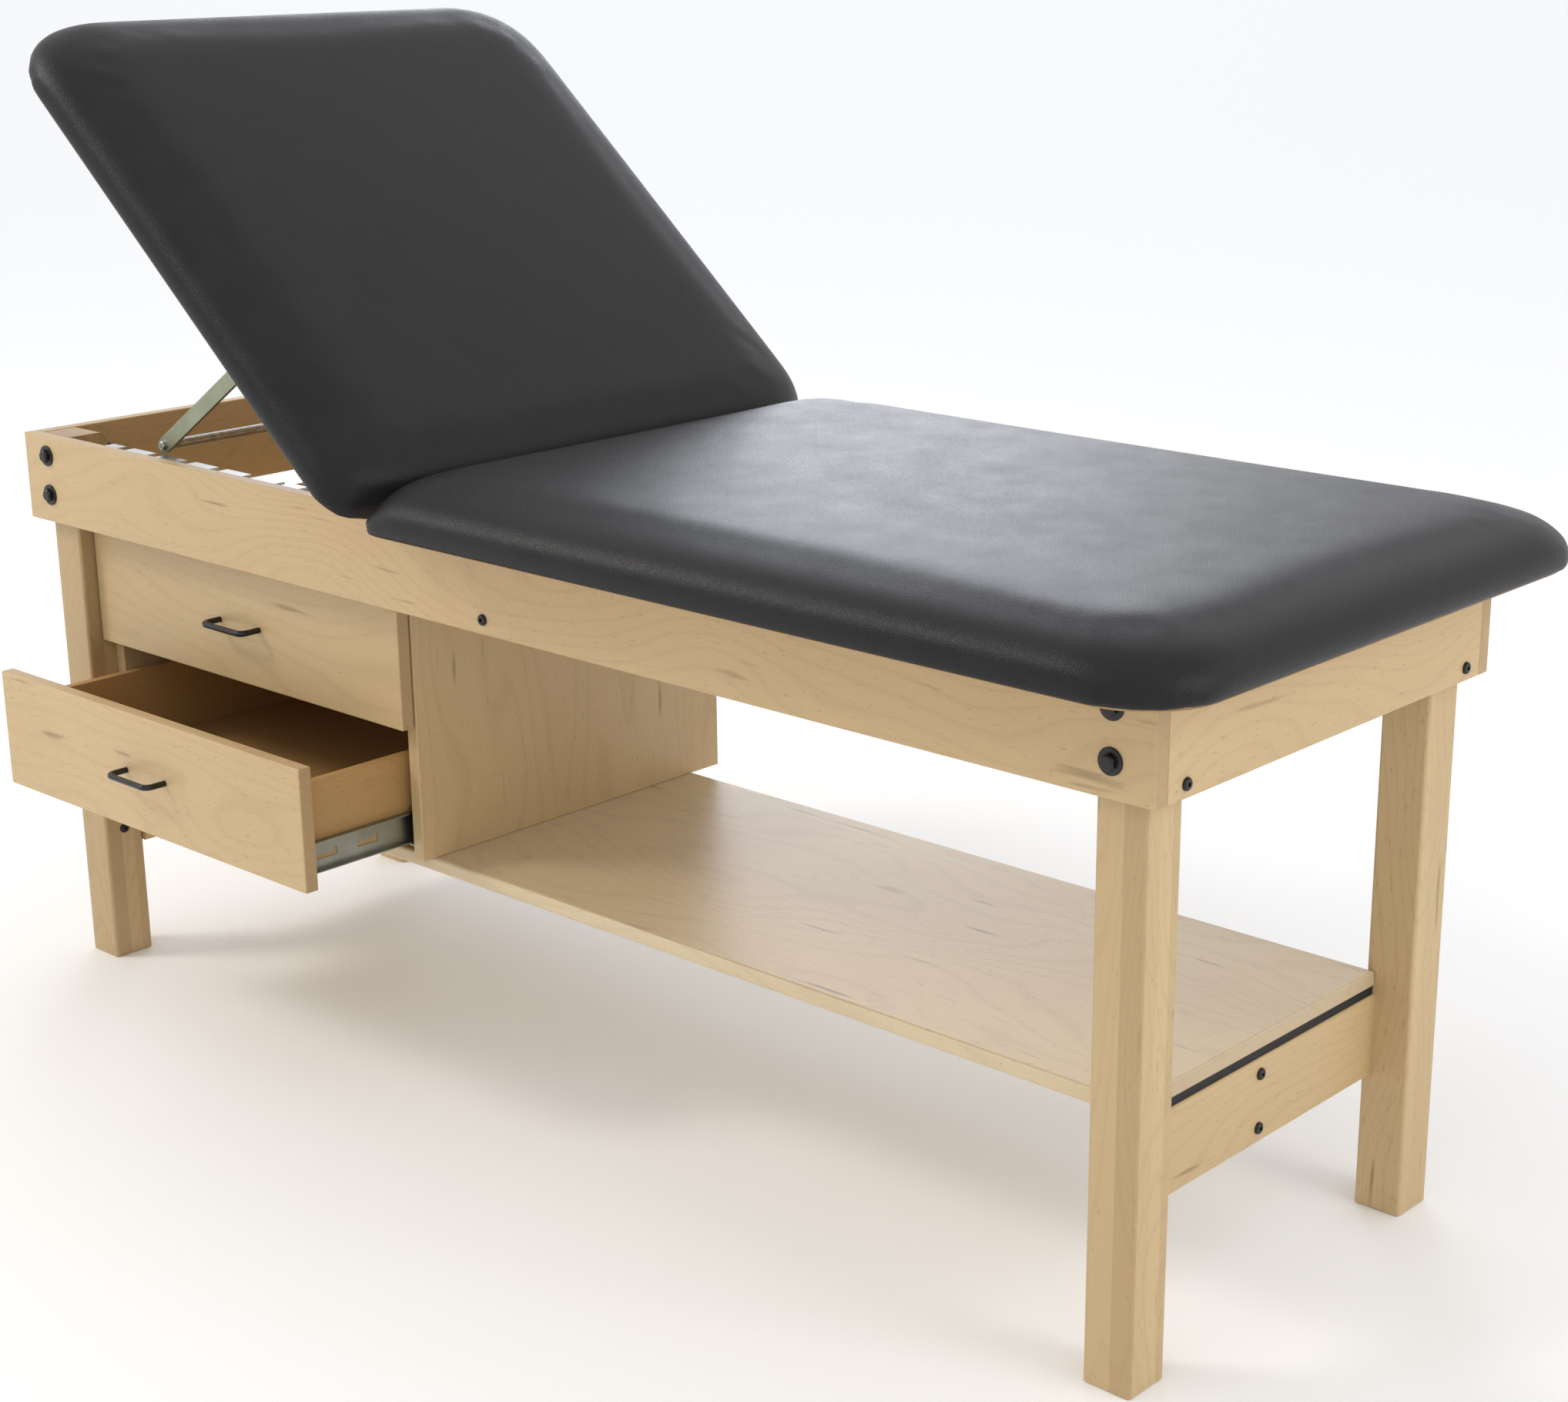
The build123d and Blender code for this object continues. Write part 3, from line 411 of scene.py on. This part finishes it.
def coating(name, light, dark, rough, size_mm):
    """Powder coat, moulded plastic or rubber: a dark skin with a fine even texture."""
    material, tree = new_material(name)
    where = node(tree, "TexCoord").outputs["Object"]
    orange_peel = {"Vector": where, "Scale": 1 / (size_mm * MM), "Detail": 3.0}
    peel = node(tree, "TexNoise", orange_peel).outputs["Fac"]
    tone = node(tree, "ValToRGB", {0: peel}, stops=[(0.35, dark), (0.65, light)]).outputs[0]
    polish = node(tree, "MapRange", {0: peel, 3: rough, 4: rough + 0.08}).outputs[0]
    bump = node(tree, "Bump", {"Height": peel, "Strength": 0.3, "Distance": 0.05 * MM}).outputs[0]
    finish_material(tree, {"Base Color": tone, "Roughness": polish, "IOR": 1.5}, bump)
    return material


LEG_STAVES_MM = (28.5, 19.0, 900.0)
WIDE_RINGS_MM = 14.0
RAIL_RINGS_MM = 9.0
LEG_RINGS_MM = 7.0
WIDE_BOARDS = (
    "shelf", "cabinet_side_foot", "cabinet_side_head", "upper_drawer_front", "lower_drawer_front",
)
BOARDS = {  # node: the way its grain runs
    "side_rail_front": "x", "side_rail_back": "x", "end_rail_head": "y", "end_rail_foot": "y",
    "centre_rail": "y", "shelf": "x", "stretcher_head": "y", "stretcher_foot": "y",
    "stretcher_beam": "x", "cabinet_side_head": "z", "cabinet_side_foot": "z", "cabinet_back": "z",
    "cabinet_top_rails": "x", "upper_drawer_front": "x", "lower_drawer_front": "x",
}


def paint_frame():
    """Gives every CAD piece that keeps its shape its real finish; the shelf's paler tones are painted
    light.
    """
    for seed, (name, along) in enumerate(BOARDS.items()):
        # the shelf takes the paler tones: painted light on its top, not a paler wood
        tones = SHELF_MAPLE_PAINTED_LIGHT if name == "shelf" else WHITE_MAPLE
        ring_mm = WIDE_RINGS_MM if name in WIDE_BOARDS else RAIL_RINGS_MM
        paint(name, wood(f"maple_{name}", along, seed + 1, tones, ring_mm=ring_mm))
    for seed, name in enumerate(["leg_head_front", "leg_head_back", "leg_foot_front", "leg_foot_back"]):
        glued = wood(f"maple_{name}", "z", seed + 21, WHITE_MAPLE, LEG_RINGS_MM, staves_mm=LEG_STAVES_MM)
        paint(name, glued)
    for level in ("upper", "lower"):
        box = wood(f"birch_{level}_drawer", "y", 31, DRAWER_BIRCH, rings=0.25, gloss=0.45, streaks=0.0)
        paint([f"{level}_drawer_sides", f"{level}_drawer_back", f"{level}_drawer_bottom"], box)
        plate = metal(f"zinc_{level}_slide", "#a9ada6", "#979b93", 0.30, 30)
        paint([f"{level}_slide_cabinet_members", f"{level}_slide_drawer_members"], plate)
        paint(f"{level}_slide_ball_cages", coating(f"acetal_{level}_cage", "#1c1c1d", "#101011", 0.45, 3))
        paint(f"{level}_handle", coating(f"powder_coat_{level}_pull", "#0e0e0f", "#080809", 0.24, 1.2))
        paint(f"{level}_handle_screws", metal(f"zinc_{level}_screws", "#b0b4b2", "#8a8d8a", 0.3, 3))
    paint(["seat_board", "back_board"], wood("birch_ply", "x", 41, PLY_FACE, rings=0.4, gloss=0.6))
    paint(["corner_washers", "corner_bolts", "corner_nuts", "button_bolts"],
          coating("black_oxide_steel", "#0c0c0d", "#060606", 0.40, 2.0))
    paint("barrel_nuts", metal("zinc_barrel_nuts", "#b0b4b2", "#8a8d8a", 0.3, 3))
    paint(["rack_front", "rack_back"], metal("zinc_rack", "#c2c6c4", "#b0b4b1", 0.26, 25))
    paint(["rack_screws", "pivot_pins", "strut_pivot_pins"],
          metal("zinc_screws", "#bcc0be", "#90938f", 0.28, 3))
    paint(["pivot_plates", "back_pivot_plates", "strut_brackets"],
          metal("zinc_plates", "#b2b6b0", "#8c908a", 0.32, 14))
    paint("strut_bars", metal("passivated_strut", "#a2a691", "#8f947d", 0.40, 30))
    paint("strut_rod", metal("zinc_rod", "#c6cac8", "#a2a5a3", 0.20, 8))
    paint("stretcher_spacers", coating("rubber_spacer", "#141414", "#0c0c0c", 0.6, 2.5))


# ---------------------------------------------------------------- cushions
def back_hinge():
    """Place of the back's hinge, and the angle that the back stands up at rest."""
    joint = next(j for j in frame["joints"] if j["name"] == "back_lift")
    return Vector(joint["pos_m"]), math.radians(-joint["range_deg"][0])


def laid_flat():
    """Turns the back section from rest to flat, about its hinge."""
    place, angle = back_hinge()
    turn = Matrix.Rotation(-angle, 4, "Y")
    return Matrix.Translation(place) @ turn @ Matrix.Translation(-place)


def pad_size(name, flatten):
    """Lowest and highest corners of a CAD pad, lying flat."""
    points = points_of(nodes[name])
    if flatten:
        turn = np.array(laid_flat())
        points = points @ turn[:3, :3].T + turn[:3, 3]
    return Vector(points.min(0)), Vector(points.max(0))


def foam_block(name, low, high, corners):
    """Foam cut to a plan outline: a box whose upright edges are rounded at each end."""
    deselect()
    bpy.ops.mesh.primitive_cube_add(size=1, location=(low + high) / 2)
    block = bpy.context.object
    block.name = name
    block.scale = high - low
    bpy.ops.object.transform_apply(location=True, rotation=True, scale=True)
    for end, radius in corners:
        edge_x = high.x if end > 0 else low.x
        bpy.ops.object.mode_set(mode="EDIT")
        bpy.ops.mesh.select_all(action="DESELECT")
        bpy.ops.object.mode_set(mode="OBJECT")
        for edge in block.data.edges:
            a, b = (block.data.vertices[i].co for i in edge.vertices)
            upright = abs(a.x - b.x) < MM and abs(a.y - b.y) < MM
            edge.select = upright and abs(a.x - edge_x) < MM
        bpy.ops.object.mode_set(mode="EDIT")
        bpy.ops.mesh.select_mode(type="EDGE")
        bpy.ops.mesh.bevel(offset=radius, segments=CORNER_SEGMENTS, profile=0.5)
        bpy.ops.object.mode_set(mode="OBJECT")
    return block


def in_plan(points, low, high):
    """Plan places measured from a pad's middle, and the pad's half sizes."""
    middle = (np.array(low) + np.array(high)) / 2
    half = (np.array(high) - np.array(low)) / 2
    return points[:, :2] - middle[:2], half[:2]


def dome(points, low, high, joint_end):
    """Lets the foam's top fall away to the rim in one wide roll, as tightly pulled vinyl makes it."""
    flat, half = in_plan(points, low, high)
    gap = half - np.abs(flat)
    width = np.full(flat.shape, ROLL_WIDTH)
    width[:, 0] = np.where(flat[:, 0] * joint_end > 0, JOINT_ROLL_WIDTH, ROLL_WIDTH)
    near = np.clip(1 - gap / width, 0, 1)
    reach = np.minimum(1, (near ** CORNER_POWER).sum(axis=1) ** (1 / CORNER_POWER))
    crown = CROWN * (1 - (flat / half) ** 2).clip(0, 1).prod(axis=1)
    roll = ROLL_HEIGHT * (1 - (1 - reach ** ROLL_POWER) ** (1 / ROLL_POWER))
    foam = high.z - low.z - BOARD
    domed_foam = foam + RISE + crown - roll
    result = points.copy()
    above = np.maximum(points[:, 2] - low.z - BOARD, 0)
    result[:, 2] = np.minimum(points[:, 2], low.z + BOARD) + above * domed_foam / foam
    return result


def upholstered(name, node_name, body, flatten, corners, joint_end):
    """One cushion of vinyl over foam, which replaces a CAD pad and rides on its body.

    joint_end is the end, +1 or -1 along X, that meets the other pad.
    """
    low, high = pad_size(node_name, flatten)
    inset = Vector((SWELL, SWELL, 0))
    foam_low = low + inset
    foam_high = high - inset - Vector((0, 0, SWELL))
    block = foam_block(name, foam_low, foam_high, corners)
    apply_modifier(block, "REMESH", mode="VOXEL", voxel_size=VOXEL)
    set_points(block, dome(points_of(block), foam_low, foam_high, joint_end))
    apply_modifier(block, "REMESH", mode="VOXEL", voxel_size=VOXEL)
    smooth_top(block, foam_low.z)
    blow_up(block, foam_low.z, low.x if joint_end < 0 else high.x)
    apply_modifier(block, "SMOOTH", factor=0.5, iterations=SKIN_SMOOTHING)
    fill_plan(block, low, high)
    board_end = back_hinge()[0].x - BOARD_SETBACK if flatten else high.x
    sink_underside(block, low, high, dict(corners), board_end)
    apply_modifier(block, "SUBSURF", levels=1, render_levels=1)
    activate(block)
    bpy.ops.object.shade_smooth()
    if flatten:
        block.data.transform(laid_flat().inverted())
    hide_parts(node_name)
    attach(block, body)


def smooth_top(block, floor_z):
    """Evens the foam's upper surface, leaving the part round the board as it is."""
    height = points_of(block)[:, 2] - floor_z
    share = np.clip((height - 0.3 * BOARD) / (0.5 * BOARD), 0, 1)
    group = block.vertex_groups.new(name="top")
    for index, weight in enumerate(share):
        group.add([index], float(weight), "REPLACE")
    apply_modifier(block, "SMOOTH", factor=0.5, iterations=TOP_SMOOTHING, vertex_group="top")


def blow_up(block, floor_z, joint_x):
    """Cloth simulation: the vinyl is held round the board and pressed out by the foam."""
    before = points_of(block)
    free = np.clip((before[:, 2] - floor_z - BOARD) / PIN_FADE, 0, 1)
    pin = block.vertex_groups.new(name="pin")
    for index, share in enumerate(free):
        pin.add([index], float(1 - share), "REPLACE")
    activate(block)
    modifier = block.modifiers.new("Cloth", "CLOTH")
    cloth = modifier.settings
    cloth.quality = CLOTH_QUALITY
    cloth.vertex_group_mass = "pin"
    cloth.use_pressure = True
    cloth.uniform_pressure_force = SIM_PRESSURE
    cloth.tension_stiffness = CLOTH_STRETCH
    cloth.compression_stiffness = CLOTH_STRETCH
    cloth.bending_stiffness = CLOTH_BENDING
    cloth.effector_weights.gravity = 0
    modifier.collision_settings.use_collision = False
    scene = bpy.context.scene
    modifier.point_cache.frame_start = 1
    modifier.point_cache.frame_end = SIM_FRAMES
    for step in range(1, SIM_FRAMES + 1):
        scene.frame_set(step)
    bpy.ops.object.modifier_apply(modifier=modifier.name)
    scene.frame_set(1)
    move = points_of(block) - before
    length = np.linalg.norm(move, axis=1, keepdims=True)
    from_joint = np.abs(before[:, :1] - joint_x)
    allowed = np.clip(from_joint / JOINT_FADE, LEAST_SWELL, 1)
    cap = MOST_SWELL * allowed * free[:, None]
    set_points(block, before + move * np.minimum(1, cap / np.maximum(length, 1e-9)))


def fill_plan(block, low, high):
    """Stretches the finished skin in plan so that it is exactly as long and as wide as its pad."""
    points = points_of(block)
    lowest, highest = points.min(0), points.max(0)
    for axis in (0, 1):
        share = (points[:, axis] - lowest[axis]) / (highest[axis] - lowest[axis])
        points[:, axis] = low[axis] + share * (high[axis] - low[axis])
    set_points(block, points)


def sink_underside(block, low, high, corners, board_end):
    """Lifts the skin's flat underside into the board, whose bare plywood then shows from below."""
    points = points_of(block)
    flat, half = in_plan(points, low, high)
    corner = np.where(flat[:, 0] < 0, corners[-1], corners[1])
    reach = np.maximum(np.abs(flat) - half + corner[:, None], 0)
    inside = corner - np.linalg.norm(reach, axis=1) > WRAP
    inner = low.z + 0.5 * BOARD
    under_board = inside & (points[:, 0] < board_end)
    points[under_board & (points[:, 2] < inner), 2] = inner
    set_points(block, points)


def build_cushions():
    vinyl = upholstery_vinyl()
    seat_corners = [(-1, SEAT_JOINT_CORNER), (1, PAD_CORNER)]
    back_corners = [(-1, PAD_CORNER), (1, BACK_JOINT_CORNER)]
    upholstered("seat_pad", "seat_cushion", "frame", False, seat_corners, joint_end=-1)
    upholstered("back_pad", "back_cushion", "backrest", True, back_corners, joint_end=1)
    paint(["seat_pad", "back_pad"], vinyl)


build_camera()
build_studio()
paint_frame()
build_cushions()
